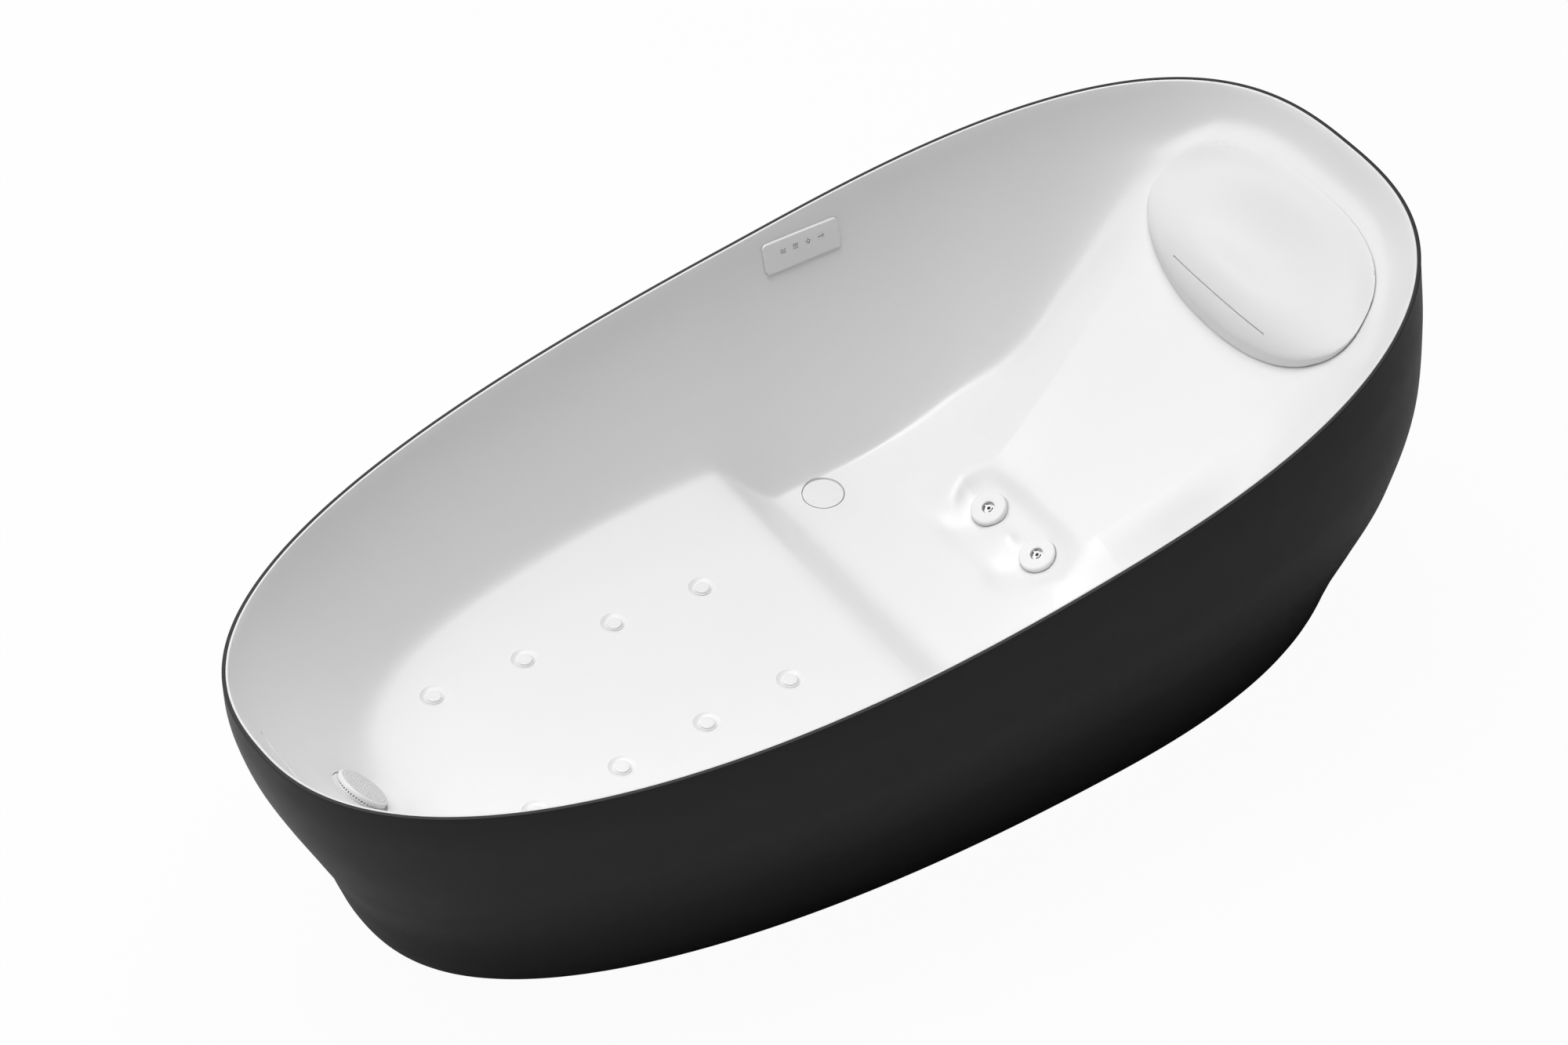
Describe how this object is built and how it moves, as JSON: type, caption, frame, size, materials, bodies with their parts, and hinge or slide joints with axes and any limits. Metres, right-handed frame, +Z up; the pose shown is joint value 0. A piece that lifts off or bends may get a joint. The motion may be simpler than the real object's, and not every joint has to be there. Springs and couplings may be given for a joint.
{
  "type": "flotation tub",
  "caption": "Freestanding oval flotation tub with dark skirt, white basin, headrest pillow with waterfall, lumbar and air jets, suction, drain and touch panel.",
  "frame": {"origin": "centre of the bounding box, on the floor", "axes": "+X towards the head end, +Y towards the side with the control panel, +Z up"},
  "size_m": [2.2, 1.05, 0.785],
  "materials": {
    "skirt_black": "satin",
    "acrylic_white": "gloss",
    "pillow_white": "soft matt",
    "steel_bright": "brushed",
    "nozzle_silver": "polished",
    "plastic_white": "gloss",
    "pipe_grey": "matt",
    "hose_grey": "matt",
    "rubber_black": "matt",
    "machine_black": "matt",
    "motor_grey": "satin",
    "wheel_grey": "matt",
    "frame_black": "powder coat",
    "board_green": "matt",
    "key_grey": "matt",
    "cord_black": "matt"
  },
  "bodies": {
    "tub": {"outer_skirt": "skirt_black", "basin": "acrylic_white", "pillow_sleeves": "plastic_white", "air_jet_bodies": "plastic_white", "air_jet_caps": "plastic_white", "air_jet_gaskets": "rubber_black", "air_jet_nuts": "plastic_white", "air_manifold": "pipe_grey", "air_hose": "hose_grey", "check_valve_body": "pipe_grey", "check_valve_pin": "steel_bright", "blower_housing": "machine_black", "blower_motor": "motor_grey", "lumbar_bodies": "plastic_white", "lumbar_nuts": "plastic_white", "jet_water_pipe": "pipe_grey", "outlet_tee": "pipe_grey", "waterfall_pipe": "pipe_grey", "suction_body": "plastic_white", "suction_gasket": "rubber_black", "suction_nut": "plastic_white", "suction_pipe": "pipe_grey", "pump_volute": "machine_black", "pump_backplate": "machine_black", "pump_motor": "motor_grey", "pump_base": "machine_black", "drain_body": "steel_bright", "drain_nut": "plastic_white", "drain_pipe": "pipe_grey", "overflow_box": "plastic_white", "overflow_hose": "hose_grey", "panel_plate": "plastic_white", "panel_keys": "key_grey", "panel_board": "board_green", "control_box": "machine_black", "control_lid": "machine_black", "lid_screws": "steel_bright", "wiring": "cord_black", "base_frame": "frame_black", "foot_pads": "rubber_black", "foot_studs": "steel_bright", "foot_nuts": "steel_bright", "support_legs": "frame_black", "leg_pads": "rubber_black"},
    "pillow": {"headrest_pillow": "pillow_white", "waterfall_spout": "steel_bright", "pillow_pegs": "plastic_white"},
    "drain_lid": {"drain_cover": "plastic_white", "drain_seal": "rubber_black"},
    "lumbar_ring_left": {"lumbar_face_left": "plastic_white"},
    "lumbar_ring_right": {"lumbar_face_right": "plastic_white"},
    "lumbar_tip_left": {"lumbar_nozzle_left": "nozzle_silver"},
    "lumbar_tip_right": {"lumbar_nozzle_right": "nozzle_silver"},
    "suction_lid": {"suction_cover": "plastic_white"},
    "pump_rotor": {"pump_impeller": "wheel_grey", "pump_shaft": "steel_bright"},
    "blower_rotor": {"blower_impeller": "wheel_grey", "blower_shaft": "steel_bright"},
    "valve_flap": {"check_valve_flap": "rubber_black"}
  },
  "joints": [
    {"name": "pillow_lift", "type": "slide", "parent": "tub", "child": "pillow", "axis": [0, 0, 1], "range_m": [0, 0.12]},
    {"name": "drain_press", "type": "slide", "parent": "tub", "child": "drain_lid", "axis": [0, 0, 1], "range_m": [0, 0.012]},
    {"name": "lumbar_ring_left_turn", "type": "hinge", "parent": "tub", "child": "lumbar_ring_left", "pos_m": [0.402, 0.071, 0.22277], "axis": [-0.4045, -0.0195, 0.9143], "range_deg": [0, 90]},
    {"name": "lumbar_ring_right_turn", "type": "hinge", "parent": "tub", "child": "lumbar_ring_right", "pos_m": [0.402, -0.071, 0.22277], "axis": [-0.4045, 0.0195, 0.9143], "range_deg": [0, 90]},
    {"name": "lumbar_tip_left_spin", "type": "hinge", "parent": "tub", "child": "lumbar_tip_left", "pos_m": [0.402, 0.071, 0.22277], "axis": [-0.4045, -0.0195, 0.9143], "continuous": true},
    {"name": "lumbar_tip_right_spin", "type": "hinge", "parent": "tub", "child": "lumbar_tip_right", "pos_m": [0.402, -0.071, 0.22277], "axis": [-0.4045, 0.0195, 0.9143], "continuous": true},
    {"name": "suction_lid_turn", "type": "hinge", "parent": "tub", "child": "suction_lid", "pos_m": [-0.924, 0, 0.36849], "axis": [0.702, 0, 0.7122], "range_deg": [0, 30]},
    {"name": "pump_spin", "type": "hinge", "parent": "tub", "child": "pump_rotor", "pos_m": [0.6, -0.125, 0.15], "axis": [1, 0, 0], "continuous": true},
    {"name": "blower_spin", "type": "hinge", "parent": "tub", "child": "blower_rotor", "pos_m": [0.68, 0.125, 0.19], "axis": [0, 1, 0], "continuous": true},
    {"name": "valve_swing", "type": "hinge", "parent": "tub", "child": "valve_flap", "pos_m": [0.5185, 0.125, 0.164], "axis": [0, 1, 0], "range_deg": [0, 45]}
  ]
}
